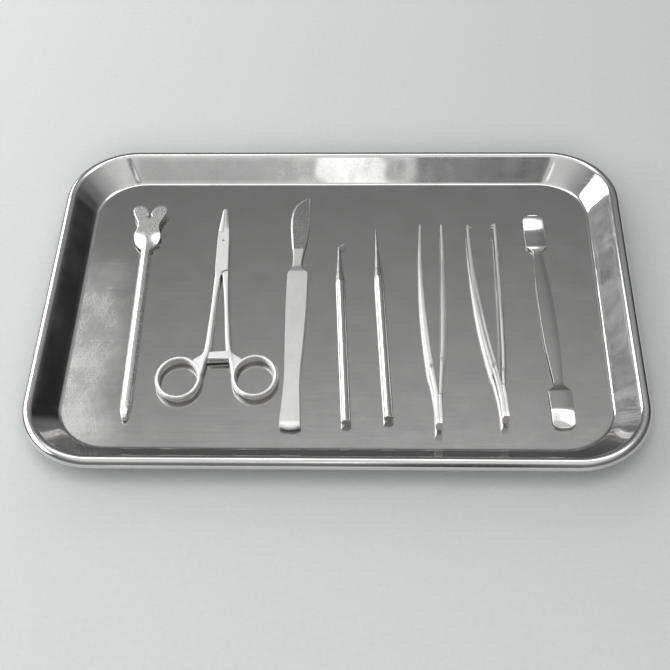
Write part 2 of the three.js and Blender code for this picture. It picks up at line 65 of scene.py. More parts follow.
TRAY_LENGTH, TRAY_WIDTH, TRAY_HEIGHT = (v / MM for v in cad_high - cad_low)
SHEET = 0.8  # thickness of the tray's sheet
BEAD = 3.5  # outside radius of the rolled rim
INSET = 17.9  # floor edge to the outside of the rim, in plan
WALL_ANGLE = math.radians(42.3)
FILLET = 2.5  # inside radius between the floor and a wall
CURL_END = math.radians(-250)  # heading of the sheet where the rim's roll ends
OUTER_CORNER = 38.0  # radii of the tray's corners in plan, at the rim and at the floor
FLOOR_CORNER = 25.0
FLOOR = SHEET + 0.15  # height that the instruments stand on

# ---------------------------------------------------------------- mesh helpers


def shell(loops, closed=False):
    """Vertices and faces through loops of equal count, with capped ends unless it closes on itself."""
    count = len(loops[0])
    spans = len(loops) if closed else len(loops) - 1
    faces = []
    for i in range(spans):
        near, far = i * count, (i + 1) % len(loops) * count
        for j in range(count):
            k = (j + 1) % count
            faces.append((near + j, near + k, far + k, far + j))
    if not closed:
        last = (len(loops) - 1) * count
        faces.append(tuple(range(count))[::-1])
        faces.append(tuple(range(last, last + count)))
    return np.concatenate([np.asarray(loop, float) for loop in loops]), faces


def joined(*shells):
    """Several shells as one."""
    verts, faces, start = [], [], 0
    for v, f in shells:
        verts.append(v)
        faces += [tuple(start + i for i in face) for face in f]
        start += len(v)
    return np.concatenate(verts), faces


def turned(shape, x, y, tilt):
    """A shell drawn in an instrument's own frame, placed in the tray."""
    verts, faces = shape
    a = math.radians(tilt)
    turn = np.array([[math.cos(a), -math.sin(a), 0], [math.sin(a), math.cos(a), 0], [0, 0, 1]])
    return verts @ turn.T + np.array([x, y, 0]), faces


def mirrored(shape):
    """A shell mirrored in X."""
    verts, faces = shape
    return verts * np.array([-1, 1, 1]), [face[::-1] for face in faces]


def plate(outline, low, high):
    """A flat plate with a plan outline of (x, y) points."""
    return shell([[(x, y, z) for x, y in outline] for z in (low, high)])


def post(radius, low, high):
    """An upright cylinder about the local origin."""
    return plate(ellipse(radius, radius, count=48), low, high)


def ellipse(a, b, count):
    """Points of an ellipse about the origin."""
    angles = np.linspace(0, 2 * math.pi, count, endpoint=False)
    return [(a * math.cos(t), b * math.sin(t)) for t in angles]


def rounded_box(a, b, corner, steps=3):
    """A rectangle of half width a and half height b with corners rounded in steps."""
    points = []
    for sx, sy, start in ((1, 1, 0), (-1, 1, 90), (-1, -1, 180), (1, -1, 270)):
        for i in range(steps + 1):
            t = math.radians(start + 90 * i / steps)
            points.append((sx * (a - corner) + corner * math.cos(t),
                           sy * (b - corner) + corner * math.sin(t)))
    return points


def spline(points, count):
    """Evenly spaced points of a smooth curve through the given ones."""
    p = np.array(points, float)
    p = np.vstack([2 * p[0] - p[1], p, 2 * p[-1] - p[-2]])
    fine = []
    for i in range(1, len(p) - 2):
        for t in np.linspace(0, 1, 24, endpoint=False):
            a, b, c, d = p[i - 1 : i + 3]
            fine.append(0.5 * (2 * b + (c - a) * t + (2 * a - 5 * b + 4 * c - d) * t**2
                               + (3 * b - a - 3 * c + d) * t**3))
    fine.append(p[-2])
    fine = np.array(fine)
    run = np.concatenate([[0], np.cumsum(np.linalg.norm(np.diff(fine, axis=0), axis=1))])
    at = np.linspace(0, run[-1], count)
    return np.stack([np.interp(at, run, fine[:, k]) for k in range(p.shape[1])], axis=1)


def along(pairs, at):
    """A value that runs through (position, value) pairs in straight steps."""
    keys, values = zip(*sorted(pairs))
    return float(np.interp(at, keys, values))


def swept(path, outline_at, middle):
    """A bar along a plan path. outline_at(x, y) gives its (across, up) section there."""
    ahead = np.gradient(np.asarray(path), axis=0)
    loops = []
    for (x, y), (dx, dy) in zip(path, ahead):
        length = math.hypot(dx, dy)
        nx, ny = -dy / length, dx / length
        loops.append([(x + nx * a, y + ny * a, middle + b) for a, b in outline_at(x, y)])
    return shell(loops)


def solid_object(name, shape, crease=32):
    """A mesh object, in metres, from a shell in millimetres, smooth except at creases."""
    verts, faces = shape
    mesh = bpy.data.meshes.new(name)
    mesh.from_pydata([tuple(v * MM) for v in verts], [], faces)
    obj = bpy.data.objects.new(name, mesh)
    bpy.context.scene.collection.objects.link(obj)
    face_outward(mesh)
    smooth(mesh, crease)
    return obj


def face_outward(mesh):
    """Joins doubled vertices and turns every face outward."""
    bm = bmesh.new()
    bm.from_mesh(mesh)
    bmesh.ops.remove_doubles(bm, verts=bm.verts, dist=1e-7)
    bmesh.ops.recalc_face_normals(bm, faces=bm.faces)
    bm.to_mesh(mesh)
    bm.free()


def smooth(mesh, crease):
    """Smooth shading, except at edges sharper than crease degrees."""
    mesh.polygons.foreach_set("use_smooth", [True] * len(mesh.polygons))
    mesh.set_sharp_from_angle(angle=math.radians(crease))


def bake(obj):
    """Applies the object's modifiers."""
    graph = bpy.context.evaluated_depsgraph_get()
    mesh = bpy.data.meshes.new_from_object(obj.evaluated_get(graph))
    obj.modifiers.clear()
    obj.data = mesh


def forged(name, adds, cuts, voxel=0.17, passes=4):
    """Shells joined into one body and cut, with every edge and inside corner slightly rounded.

    voxel is the remeshing grid in mm and passes the rounds of smoothing after it.
    """
    obj = solid_object(name, adds[0])
    for tool, kind in [(a, "UNION") for a in adds[1:]] + [(c, "DIFFERENCE") for c in cuts]:
        other = solid_object("tool", tool)
        step = obj.modifiers.new("cut", "BOOLEAN")
        step.operation, step.solver, step.object = kind, "MANIFOLD", other
        bake(obj)
        bpy.data.objects.remove(other)
    remesh = obj.modifiers.new("remesh", "REMESH")
    remesh.mode, remesh.voxel_size = "VOXEL", voxel * MM
    relax = obj.modifiers.new("relax", "SMOOTH")
    relax.factor, relax.iterations = 0.5, passes
    bake(obj)
    smooth(obj.data, crease=50)
    return obj


def settle(obj, x, y, tilt):
    """Moves a mesh drawn in an instrument's own frame to its place in the tray."""
    turn = Matrix.Rotation(math.radians(tilt), 4, "Z")
    obj.data.transform(Matrix.Translation((x * MM, y * MM, 0)) @ turn)
    return obj


def corners_of(mesh):
    """The mesh's vertices in millimetres, one row each."""
    co = np.empty(len(mesh.vertices) * 3)
    mesh.vertices.foreach_get("co", co)
    return co.reshape(-1, 3) / MM


def reshaped(obj, change):
    """A mesh object's shell in millimetres, after change(x, y, z) on its arrays. The object is removed."""
    verts = corners_of(obj.data)
    faces = [tuple(face.vertices) for face in obj.data.polygons]
    bpy.data.objects.remove(obj)
    return np.stack(change(*verts.T), axis=1), faces


def brush_map(obj, lines_along_y=True):
    """A UV map whose U runs across the brush lines, in millimetres."""
    mesh = obj.data
    layer = mesh.uv_layers.new(name="brush")
    loops = np.empty(len(mesh.loops), int)
    mesh.loops.foreach_get("vertex_index", loops)
    uv = corners_of(mesh)[loops][:, [0, 1] if lines_along_y else [1, 0]]
    layer.data.foreach_set("uv", uv.ravel())


def finished(obj, body, material, slot, *nodes, lines_along_y=True):
    """Gives a piece its map, material and body, and hides the CAD nodes that it stands for. Its slot
    argument is not used.
    """
    brush_map(obj, lines_along_y)
    if material is not None:
        obj.data.materials.clear()
        obj.data.materials.append(material)
    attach(obj, body)
    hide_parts(*nodes)


# ---------------------------------------------------------------- materials


class Shader:
    """A small builder for a material's or the world's node tree."""

    def __init__(self, owner, place="Object"):
        owner.use_nodes = True
        self.owner = owner
        self.tree = owner.node_tree
        self.bsdf = self.tree.nodes.get("Principled BSDF")
        self.place = self.node("ShaderNodeTexCoord").outputs[place]

    def node(self, kind, **settings):
        made = self.tree.nodes.new(kind)
        for key, value in settings.items():
            setattr(made, key, value)
        return made

    def link(self, source, target):
        self.tree.links.new(source, target)

    def mapped(self, scale, turn, shift):
        """Coordinates shifted in metres, turned about Z in degrees and scaled in counts per millimetre."""
        turner = self.node("ShaderNodeMapping")
        turner.inputs["Location"].default_value = shift
        turner.inputs["Rotation"].default_value = (0, 0, math.radians(turn))
        self.link(self.place, turner.inputs["Vector"])
        scaler = self.node("ShaderNodeMapping")
        scaler.inputs["Scale"].default_value = [s / MM for s in scale]
        self.link(turner.outputs["Vector"], scaler.inputs["Vector"])
        return scaler.outputs["Vector"]

    def noise(self, scale, turn=0.0, detail=2.0, roughness=0.5, shift=(0, 0, 0), distortion=0.0):
        """Noise with about scale's three counts per millimetre along X, Y and Z."""
        made = self.node("ShaderNodeTexNoise")
        made.inputs["Scale"].default_value = 1.0
        made.inputs["Detail"].default_value = detail
        made.inputs["Roughness"].default_value = roughness
        made.inputs["Distortion"].default_value = distortion
        self.link(self.mapped(scale, turn, shift), made.inputs["Vector"])
        return made.outputs["Fac"]

    def ranged(self, value, low, high, to_low, to_high, soft=False):
        """The value taken from low..high to to_low..to_high, and held beyond both ends."""
        made = self.node("ShaderNodeMapRange")
        made.interpolation_type = "SMOOTHSTEP" if soft else "LINEAR"
        ends = {"From Min": low, "From Max": high, "To Min": to_low, "To Max": to_high}
        for socket, number in ends.items():
            made.inputs[socket].default_value = number
        self.link(value, made.inputs["Value"])
        return made.outputs["Result"]

    def maths(self, operation, a, b):
        made = self.node("ShaderNodeMath", operation=operation)
        for socket, value in zip(made.inputs, (a, b)):
            if isinstance(value, (int, float)):
                socket.default_value = value
            else:
                self.link(value, socket)
        return made.outputs["Value"]

    def total(self, first, *others):
        for other in others:
            first = self.maths("ADD", first, other)
        return first

    def product(self, first, *others):
        for other in others:
            first = self.maths("MULTIPLY", first, other)
        return first

    def axes(self):
        """The X, Y and Z of the shader's own coordinates."""
        split = self.node("ShaderNodeSeparateXYZ")
        self.link(self.place, split.inputs[0])
        return split.outputs

    def scratches(self, turn, shift):
        """Thin straight scratches that run along the local Y axis turned by the given angle."""
        per_mm, length, share, edge = 2.2, 14.0, 0.66, 0.02
        lines = self.noise((per_mm, 1 / length, per_mm), turn, detail=0.0, shift=shift)
        return self.ranged(lines, share, share + edge, 0.0, 1.0)

    def bump(self, height, distance, below=None):
        """A bump of the given height in mm, on top of the bump below it."""
        made = self.node("ShaderNodeBump")
        made.inputs["Strength"].default_value = 1.0
        made.inputs["Distance"].default_value = distance * MM
        self.link(height, made.inputs["Height"])
        if below is not None:
            self.link(below, made.inputs["Normal"])
        return made.outputs["Normal"]

    def tangent(self):
        """Stretches highlights across the brush lines."""
        made = self.node("ShaderNodeTangent", direction_type="UV_MAP", uv_map="brush")
        self.link(made.outputs["Tangent"], self.bsdf.inputs["Tangent"])


def mixed_colour(shader, factor, dark, light):
    """A base colour between dark and light."""
    colour_a, colour_b, colour_out = 6, 7, 2  # a Mix node's own places for its colour sockets
    made = shader.node("ShaderNodeMix", data_type="RGBA")
    shader.link(factor, made.inputs["Factor"])
    made.inputs[colour_a].default_value = (*dark, 1)
    made.inputs[colour_b].default_value = (*light, 1)
    shader.link(made.outputs[colour_out], shader.bsdf.inputs["Base Color"])


def steel(name, dark, light, roughness, brushing, waviness, wave_scale, anisotropy=0.0,
          scratch_turns=(8, -17, 61), scratch_depth=0.0001, scratch_mask=None, line_scale=(9, 0.05, 9)):
    """Stainless steel.

    dark and light bound its tint, and roughness is (low, high). brushing is the depth in mm of the
    grinding lines, whose counts per mm are line_scale, and waviness that of the slow unevenness, whose
    counts are wave_scale. Scratches lie at scratch_turns degrees. Where scratch_mask is given, it says
    where they are, and the steel is duller there.
    """
    duller, scratch_duller = 0.14, 0.05
    s = Shader(bpy.data.materials.new(name))
    s.bsdf.inputs["Metallic"].default_value = 1.0
    s.bsdf.inputs["Anisotropic"].default_value = anisotropy
    if anisotropy:
        s.tangent()
    lines = s.noise(line_scale, detail=3.0, roughness=0.7)
    cloud = s.noise((0.06, 0.06, 0.06), detail=4.0, roughness=0.6)
    handled = s.noise((0.5, 0.5, 0.5), detail=5.0, roughness=0.65, distortion=0.6)
    tone = s.total(s.product(lines, 0.5), s.product(cloud, 0.5))
    mixed_colour(s, s.ranged(tone, 0.35, 0.65, 0.0, 1.0), dark, light)
    marks = None
    for i, turn in enumerate(scratch_turns):
        found = s.scratches(turn, shift=(0.013 * i, 0.007 * i, 0))
        marks = found if marks is None else s.maths("MAXIMUM", marks, found)
    patch = scratch_mask(s) if scratch_mask else s.ranged(handled, 0.45, 0.6, 0.15, 1.0)
    marks = s.product(marks, patch)
    rough = s.ranged(s.total(s.product(lines, 0.6), s.product(handled, 0.4)), 0.35, 0.65, *roughness)
    worn = s.product(patch, duller if scratch_mask else 0.0)
    s.link(s.total(rough, worn, s.product(marks, scratch_duller)), s.bsdf.inputs["Roughness"])
    waves = s.bump(s.noise(wave_scale, detail=1.0), waviness)
    grain = s.bump(lines, brushing, below=waves)
    s.link(s.bump(marks, -scratch_depth, below=grain), s.bsdf.inputs["Normal"])
    return s.owner


# tints of steel, each as its darkest and lightest colour
PALE = ((0.84, 0.835, 0.83), (0.92, 0.915, 0.91))
BRIGHT = ((0.68, 0.675, 0.67), (0.80, 0.795, 0.79))
MIDDLING = ((0.62, 0.615, 0.61), (0.70, 0.695, 0.69))
DEEP = ((0.52, 0.515, 0.51), (0.60, 0.595, 0.59))
ETCHED = ((0.48, 0.475, 0.47), (0.58, 0.575, 0.57))


def wiped_side(s):
    """More scratches on a strip along the tray floor's left end, in patches, and few elsewhere."""
    elsewhere = 0.06
    x, y, _ = s.axes()
    side = s.ranged(x, -0.095, -0.128, 0.0, 1.0, soft=True)
    back = s.ranged(y, 0.055, 0.0, 0.0, 1.0, soft=True)
    patch = s.ranged(s.noise((0.03, 0.03, 0.03)), 0.35, 0.6, 0.3, 1.0)
    return s.total(s.product(side, back, patch), elsewhere)


floor_steel = steel("tray_floor_brushed", *DEEP, (0.10, 0.16), 0.0005, 0.03, (0.012, 0.02, 0.02),
                    anisotropy=0.45, line_scale=(0.03, 7, 7), scratch_turns=(-14, -22, 24, 31),
                    scratch_depth=0.001, scratch_mask=wiped_side)
wall_steel = steel("tray_wall_polished", *BRIGHT, (0.05, 0.10), 0.0, 0.30, (0.05, 0.05, 0.02),
                   line_scale=(2, 2, 2), scratch_depth=0.000002)
rim_steel = steel("tray_rim_polished", *BRIGHT, (0.09, 0.15), 0.0, 0.01, (0.05, 0.05, 0.05),
                  line_scale=(2, 2, 2))
under_steel = steel("tray_underside", *DEEP, (0.3, 0.4), 0.0006, 0.02, (0.02, 0.02, 0.02),
                    line_scale=(0.03, 5, 5))
director_steel = steel("director_steel", *PALE, (0.23, 0.25), 0.000005, 0.0005, (0.05, 0.05, 0.05),
                       scratch_depth=0.000002, line_scale=(6, 6, 6))
forceps_steel = steel("artery_forceps_steel", *PALE, (0.40, 0.48), 0.0002, 0.002, (0.2, 0.2, 0.2),
                      scratch_depth=0.00004)
scalpel_steel = steel("scalpel_steel", *BRIGHT, (0.40, 0.48), 0.002, 0.01, (0.1, 0.05, 0.1),
                      anisotropy=0.4)
blade_steel = steel("scalpel_blade_steel", *ETCHED, (0.2, 0.28), 0.0004, 0.002, (0.05, 0.05, 0.05),
                    scratch_depth=0.00002)
handle_steel = steel("needle_handle_steel", *BRIGHT, (0.12, 0.18), 0.0001, 0.0006, (0.3, 0.05, 0.3))
point_steel = steel("needle_steel", *BRIGHT, (0.12, 0.2), 0.0001, 0.0005, (0.3, 0.3, 0.3))
leaf_steel = steel("forceps_leaf_steel", *PALE, (0.34, 0.42), 0.0005, 0.003, (0.1, 0.1, 0.1))
spatula_steel = steel("spatula_steel", *MIDDLING, (0.05, 0.09), 0.0001, 0.003, (0.06, 0.02, 0.06))
pin_steel = steel("pivot_pin_steel", *DEEP, (0.2, 0.3), 0.0004, 0.0, (1, 1, 1), line_scale=(8, 8, 8))

# ---------------------------------------------------------------- tray


def tray_loop(s, z, corner):
    """The floor's outline grown by s, at height z."""
    half_x, half_y = TRAY_LENGTH / 2 - INSET + s, TRAY_WIDTH / 2 - INSET + s
    return [(x, y, z) for x, y in rounded_box(half_x, half_y, corner, steps=28)]


def tray():
    """The pan: loops run from the floor's middle up the inside, round the rim and back underneath."""
    bead_s, bead_z = INSET - BEAD, TRAY_HEIGHT - BEAD
    wall_end = bead_s - BEAD * math.sin(WALL_ANGLE)

    def bead_corner(s):
        return OUTER_CORNER - (INSET - s)

    def wall_corner(s):
        return FLOOR_CORNER + (bead_corner(wall_end) - FLOOR_CORNER) * s / wall_end

    def fillet(radius, share):
        a = WALL_ANGLE * share
        return radius * math.sin(a), SHEET + FILLET - radius * math.cos(a)

    def curl(radius, share):
        heading = WALL_ANGLE + (CURL_END - WALL_ANGLE) * share
        return bead_s - radius * math.sin(heading), bead_z + radius * math.cos(heading)

    turns, bends, rise = 48, 8, 6  # steps round the roll, in the fillet and up the wall
    middle, edge = 12, 0.6  # how far inside the floor's outline its two flat loops lie
    loops = [tray_loop(-s, SHEET, FLOOR_CORNER - s) for s in (middle, edge)]

    def side(fillet_radius, bead_radius):
        points = [(*fillet(fillet_radius, i / bends), wall_corner) for i in range(bends + 1)]
        (s0, z0, _), (s1, z1) = points[-1], curl(bead_radius, 0)
        for i in range(1, rise):
            points.append((s0 + (s1 - s0) * i / rise, z0 + (z1 - z0) * i / rise, wall_corner))
        points += [(*curl(bead_radius, i / turns), bead_corner) for i in range(turns + 1)]
        return [tray_loop(s, z, corner(s)) for s, z, corner in points]

    inner, outer = side(FILLET, BEAD), side(FILLET + SHEET, BEAD - SHEET)
    loops += inner + outer[::-1] + [tray_loop(-edge, 0, FLOOR_CORNER - edge)]
    obj = solid_object("tray_pan_pressed", shell(loops), crease=40)
    mesh = obj.data
    for material in (floor_steel, wall_steel, rim_steel, under_steel):
        mesh.materials.append(material)
    floor_slot, wall_slot, rim_slot, under_slot = range(4)
    rim_start = SHEET + FILLET + 4.5
    wall_top = bead_z + BEAD * math.cos(WALL_ANGLE)
    for face in mesh.polygons:
        x, y, z = (c / MM for c in face.center)
        up = face.normal.z
        outside_by = max(abs(x) - TRAY_LENGTH / 2, abs(y) - TRAY_WIDTH / 2)
        if up > 0.999 and z < SHEET + 0.1:
            face.material_index = floor_slot
        elif z < 0.3 or (up < 0 and z < rim_start):
            face.material_index = under_slot
        elif z < wall_top and up > 0.3 and outside_by < -BEAD:
            face.material_index = wall_slot
        else:
            face.material_index = rim_slot
    finished(obj, "tray", None, "tray_pan", "tray_pan", lines_along_y=False)


tray()

# ---------------------------------------------------------------- grooved director

RIDGE = FLOOR + 3.8
DIRECTOR_HALF = 2.65  # half the bar's width
# fall from the ridge in mm at shares of the half width, for the bar's top and the groove's
BAR_ROOF = [(0, 0), (0.19, 0.09), (0.377, 0.2), (0.566, 0.36), (0.755, 0.58), (0.87, 0.8), (0.95, 1.08),
            (0.99, 1.4), (1, 1.8)]
GROOVE_ROOF = [(0, 0), (0.3, 0.06), (0.5, 0.15), (0.82, 0.5), (1, 1.0)]


def ridged(stations, roof):
    """A bar along Y under a low ridge: stations are (y, half width, ridge height, bottom height)."""
    loops = []
    for y, half, ridge, bottom in stations:
        left = [(-half * share, y, ridge - drop * half / DIRECTOR_HALF) for share, drop in roof[1:]]
        right = [(-x, y, z) for x, y, z in reversed(left)]
        loops.append([(-half, y, bottom), (half, y, bottom), *right, (0, y, ridge), *left])
    return shell(loops)


def director():
    """It lies with its groove down; the plate's near corners are bent down into the bar's two slopes."""
    tip, thick, half = -77.2, 1.0, DIRECTOR_HALF
    bar = ridged([(tip, 0.6, RIDGE - 2.2, FLOOR + 0.7), (tip + 0.4, 0.95, RIDGE - 1.6, FLOOR + 0.35),
                  (tip + 1, 1.25, RIDGE - 1.1, FLOOR + 0.15), (tip + 3, 1.9, RIDGE - 0.4, FLOOR),
                  (tip + 6, 2.4, RIDGE - 0.08, FLOOR), (tip + 10, half, RIDGE, FLOOR),
                  (36, half, RIDGE, FLOOR), (41, half, RIDGE, FLOOR + 1.6),
                  (45, half - 0.4, RIDGE, RIDGE - thick - 0.8)], BAR_ROOF)
    groove = ridged([(tip + 4, 0.9, RIDGE - 1.7, FLOOR - 0.1),
                     (tip + 9, half - 0.8, RIDGE - 1.1, FLOOR - 0.1),
                     (46, half - 0.8, RIDGE - 1.1, FLOOR - 0.1)], GROOVE_ROOF)
    right = [tuple(p) for p in spline([(2.2, 38), (4.2, 40.5), (6.6, 44.5), (7.2, 49), (6.0, 54.5),
                                       (6.4, 59), (8.9, 65.5), (9.1, 69.5), (6.6, 71.2), (3.4, 70.6),
                                       (1.5, 67.8)], 70)]
    eye, eye_y = 1.3, 63.1  # radius and middle of the round end of the slot
    slot = [(0.55, 65.2), (0.55, 64.1)]
    slot += [(eye * math.cos(t), eye_y + eye * math.sin(t)) for t in map(math.radians, range(50, -91, -14))]
    half_outline = right + slot
    outline = half_outline + [(-x, y) for x, y in half_outline[-2::-1]]

    def bent(x, y, z):
        """The plate laid over the bar's slopes where the two meet."""
        share = np.clip((51 - y) / 11, 0, 1)
        fall = np.interp(np.abs(x), [0, 1, 2, DIRECTOR_HALF, 4, 7], [0, 0.2, 0.5, 0.74, 1.25, 2.3])
        return x, y, z - share**2 * (3 - 2 * share) * fall

    blank = forged("blank", [plate(outline, RIDGE - thick, RIDGE)], [], voxel=0.2, passes=2)
    obj = forged("grooved_director_stamped", [bar, reshaped(blank, bent)], [groove], voxel=0.15, passes=5)
    settle(obj, -104.2, 0, 1.1)
    finished(obj, "director", director_steel, "grooved_director", "grooved_director")


director()

# ---------------------------------------------------------------- artery forceps

FORCEPS_MIDDLE = FLOOR + 2.5  # height of the middle of both halves
FORCEPS_HALF = 2.0  # half the forceps' height
PIVOT = (-63.0, 43.5, 2.2)  # the pin's x and y, and the forceps' turn in degrees
PIN_HOLE = 0.72
TONGUE_HALF = 0.8  # half the height of the tongue between the two lock plates
SEAM, SEAM_GAP = 7.2, 0.3  # the lock's seam is round about the pin, so that the half turns in it
BEYOND = 3  # how far a cut runs past the forceps' middle


def finger_ring():
    """The right-hand ring: an upright oval of oval wire."""
    a, b = 10.5, 12.6
    loops = []
    for t in np.linspace(0, 2 * math.pi, 96, endpoint=False):
        x, y = a * math.cos(t), b * math.sin(t)
        nx, ny = b * math.cos(t), a * math.sin(t)
        length = math.hypot(nx, ny)
        loops.append([(19.0 + x + nx / length * u, -94.6 + y + ny / length * u, FORCEPS_MIDDLE + v)
                      for u, v in ellipse(1.35, 1.7, 24)])
    return shell(loops, closed=True)


def shank():
    """The right-hand shank, from the lock to its ring."""
    path = spline([(1.9, -24), (3.15, -43.5), (4.35, -63.5), (5.3, -76), (7.0, -83.5), (8.5, -93)], 60)
    widths = [(-93, 1.2), (-84, 1.6), (-76, 1.55), (-50, 1.35), (-24, 1.55)]
    heights = [(-93, 1.65), (-80, 1.8), (-70, 1.93), (-24, 2.0)]
    powers = [(-44, 0.62), (-25, 0.22)]

    def section(_, y):
        return pillow(along(widths, y), along(heights, y), along(powers, y))

    return swept(path, section, FORCEPS_MIDDLE)


def pillow(a, b, power):
    """Section between a box (power 0) and an oval (power 1), for forged bars with broad soft tops."""
    return [(a * math.copysign(abs(x) ** power, x), b * math.copysign(abs(y) ** power, y))
            for x, y in ellipse(1, 1, 36)]


def web():
    """The fillet between a ring and its shank, thinner towards its middle."""
    outline = [tuple(p) for p in spline([(4.6, -71), (5.7, -76.2), (8.1, -80.4), (12.2, -83.6)], 14)]
    outline += [(12.4, -84.8), (11.4, -85.9), (9.9, -88.3), (8.9, -91.0), (7.6, -87), (5.6, -79)]
    middle = np.mean(outline, axis=0)
    inset = [tuple(middle + (np.array(p) - middle) * 0.86) for p in outline]
    levels = [(inset, -1.62), (outline, -0.9), (outline, 0.9), (inset, 1.62)]
    return shell([[(x, y, FORCEPS_MIDDLE + z) for x, y in points] for points, z in levels])


def ratchet(up):
    """A ratchet arm with its teeth towards the other arm, for the half whose ring is on the right."""
    low, high = sorted((up * 0.7, up * 1.85))
    pieces = [plate([(5.4, -78.6), (-4.1, -79.0), (-4.8, -83.4), (6.4, -83.8)],
                    FORCEPS_MIDDLE + low, FORCEPS_MIDDLE + high)]
    pitch = 1.7
    for i in range(4):
        x = -3.5 + i * pitch
        profile = [(x, up * 0.9), (x, up * 0.12), (x + pitch * 0.85, up * 0.9)]
        pieces.append(shell([[(px, y, FORCEPS_MIDDLE + pz) for px, pz in profile] for y in (-79.6, -83.0)]))
    return pieces


def jaw(start):
    """The right-hand jaw: half an oval with its flat beside the closing plane."""
    gap = 0.06
    loops = []
    for y in np.concatenate([np.linspace(start, 24, 12), [25, 25.6, 26]]):
        width = along([(7, 3.0), (12, 2.65), (24, 1.4), (25.6, 1.0), (26, 0.65)], y)
        half = along([(8, FORCEPS_HALF), (14, FORCEPS_HALF * 0.88), (24, 1.15), (26, 0.75)], y)
        power = along([(8, 0.42), (18, 0.75), (26, 0.9)], y)
        angles = np.radians(np.linspace(-90, 90, 17))
        loops.append([(gap + width * math.cos(t) ** power, y,
                       FORCEPS_MIDDLE + half * math.copysign(abs(math.sin(t)) ** power, math.sin(t)))
                      for t in angles])
    return shell(loops)


def box_half():
    """The half with the two lock plates, its ring on the left and its jaw on the right."""
    low, high = FORCEPS_MIDDLE - FORCEPS_HALF, FORCEPS_MIDDLE + FORCEPS_HALF
    arc = [tuple(p) for p in spline([(-0.4, -24.5), (-0.2, -23.2), (1.2, -22.1), (3.2, -21.6)], 10)]
    seam = [(SEAM * math.cos(t), SEAM * math.sin(t)) for t in np.radians([90, 96, 102, 108, 114])]
    cover = [(-3.5, -24.5), *arc, (2.95, 0), (2.75, 8.6), (0.1, 8.6), *seam, (-3.2, 0), (-3.7, -21)]
    foot = [(-3.5, -26.5), (-0.7, -26.5), (-0.4, -23.2), (-3.55, -23.2)]
    head = [(0.1, 7.3), (2.75, 7.3), (2.7, 9.5), (0.1, 9.5)]
    adds = [plate(cover, FORCEPS_MIDDLE + 1.0, high), plate(cover, low, FORCEPS_MIDDLE - 1.0),
            plate(foot, low, high), plate(head, low, high), jaw(8), mirrored(shank()), mirrored(web()),
            mirrored(finger_ring()), *map(mirrored, ratchet(-1))]
    hole = post(PIN_HOLE, FORCEPS_MIDDLE - BEYOND, FORCEPS_MIDDLE + BEYOND)
    obj = settle(forged("artery_forceps_box_half_forged", adds, [hole]), *PIVOT)
    finished(obj, "artery_forceps_left", forceps_steel, "artery_forceps", "artery_forceps_box_half")


def tongue_half():
    """The half whose tongue passes between the plates, its ring on the right and its jaw on the left."""
    low, high = FORCEPS_MIDDLE - FORCEPS_HALF, FORCEPS_MIDDLE + FORCEPS_HALF
    tongue = [(0.35, -24.6), (3.3, -24.6), (3.1, -10), (2.6, 0), (2.4, 6.1), (-0.1, 6.1), (-0.1, 9.2),
              (-2.6, 9.2), (-2.75, 0), (-1.7, -10), (-0.05, -21.5)]
    foot = [(0.5, -26.5), (3.5, -26.5), (3.35, -22.7), (1.3, -23.0)]
    adds = [plate(tongue, FORCEPS_MIDDLE - TONGUE_HALF, FORCEPS_MIDDLE + TONGUE_HALF),
            plate(foot, low, high), mirrored(jaw(6.4)), shank(), web(), finger_ring(), *ratchet(1)]
    cuts = [post(PIN_HOLE, FORCEPS_MIDDLE - BEYOND, FORCEPS_MIDDLE + BEYOND),
            post(SEAM + SEAM_GAP, FORCEPS_MIDDLE + TONGUE_HALF, FORCEPS_MIDDLE + BEYOND),
            post(SEAM + SEAM_GAP, FORCEPS_MIDDLE - BEYOND, FORCEPS_MIDDLE - TONGUE_HALF)]
    obj = settle(forged("artery_forceps_tongue_half_forged", adds, cuts), *PIVOT)
    finished(obj, "artery_forceps_right", forceps_steel, "artery_forceps", "artery_forceps_tongue_half")


def pivot_pin():
    """The pin, with a slightly domed top: levels are (radius, height over the middle)."""
    levels = [(0.44, -FORCEPS_HALF + 0.06), (0.5, -FORCEPS_HALF + 0.14), (0.5, FORCEPS_HALF - 0.3),
              (0.42, FORCEPS_HALF - 0.24), (0.2, FORCEPS_HALF - 0.2)]
    pin = shell([[(x, y, FORCEPS_MIDDLE + z) for x, y in ellipse(r, r, 40)] for r, z in levels])
    obj = settle(solid_object("artery_forceps_pin_ground", pin), *PIVOT)
    finished(obj, "artery_forceps_right", pin_steel, "artery_forceps_pin", "artery_forceps_pivot_pin")


box_half()
tongue_half()
pivot_pin()

# ---------------------------------------------------------------- scalpel


